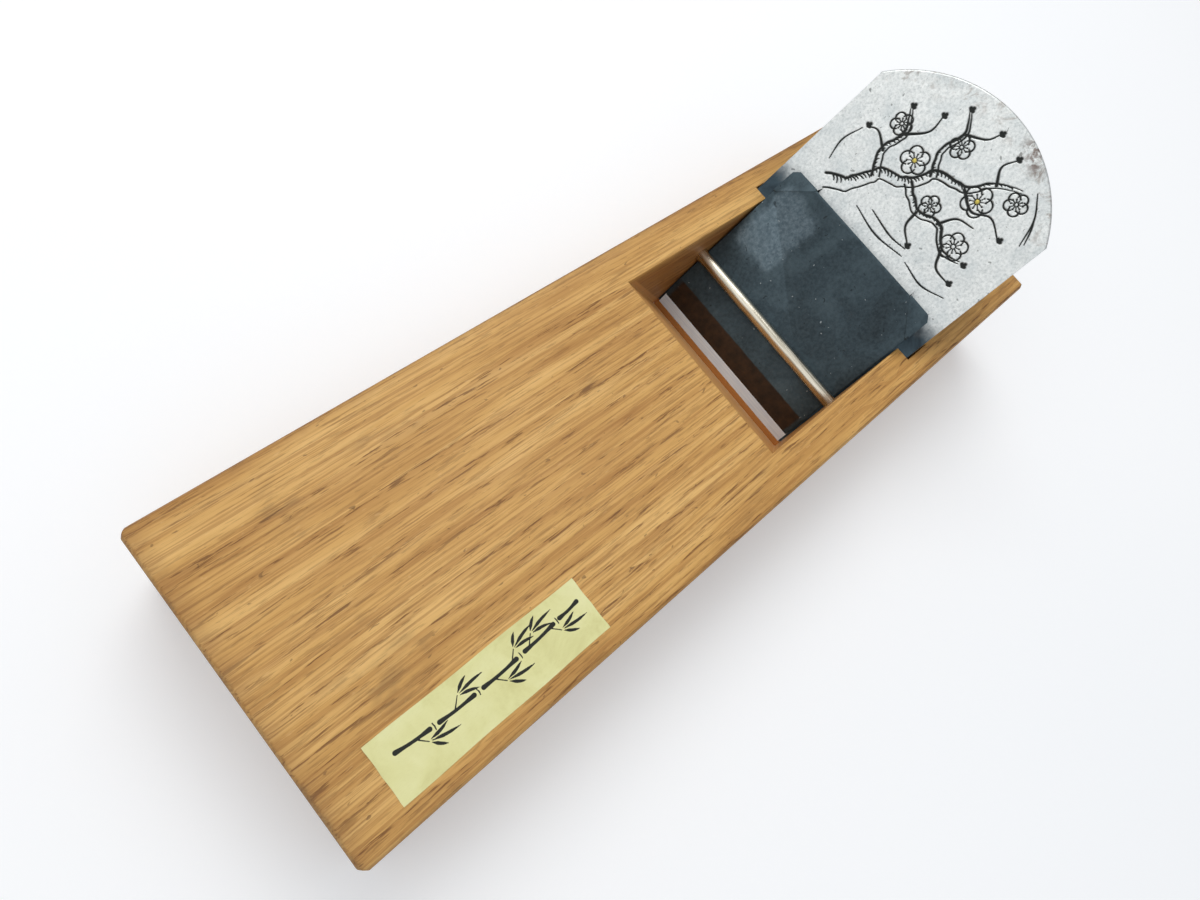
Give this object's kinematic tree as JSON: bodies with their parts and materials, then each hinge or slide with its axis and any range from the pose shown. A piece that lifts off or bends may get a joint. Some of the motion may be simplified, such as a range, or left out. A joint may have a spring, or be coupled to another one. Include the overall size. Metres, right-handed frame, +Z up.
{
  "type": "japanese hand plane",
  "caption": "Oak pull plane with a slanted throat; a wedge-shaped laminated blade slides in cheek grooves, and its chipbreaker slides under a cross pin.",
  "frame": {"origin": "middle of the body's length and width, on the sole", "axes": "+X along the body towards its toe, +Y towards the side that carries the label, +Z up from the sole"},
  "size_m": [0.255, 0.082, 0.0779],
  "materials": {
    "oak": "planed oak, hand-worn, with a thin oily sheen",
    "blade_iron": "bright filed iron with fine pits and old rust at the rim",
    "blade_steel": "hard steel layer, forge scale above and ground bright at the edge",
    "chipbreaker_iron": "blue-grey forge scale, mottled and lightly scratched",
    "chipbreaker_steel": "ground bright steel",
    "pin_steel": "satin drawn steel with a warm tarnish",
    "label_paper": "old pale yellow paper with brushed ink"
  },
  "bodies": {
    "stock": {"body": "oak", "retaining_pin": "pin_steel", "paper_label": "label_paper"},
    "blade": {"blade_iron": "blade_iron", "blade_steel": "blade_steel"},
    "chipbreaker": {"chipbreaker_iron": "chipbreaker_iron", "chipbreaker_steel": "chipbreaker_steel"}
  },
  "joints": [
    {"name": "blade_slide", "type": "slide", "parent": "stock", "child": "blade", "axis": [-0.7373, 0, 0.6756], "range_m": [-0.0005, 0.05]},
    {"name": "chipbreaker_slide", "type": "slide", "parent": "blade", "child": "chipbreaker", "axis": [-0.7071, 0, 0.7071], "range_m": [-0.002, 0.05]}
  ]
}
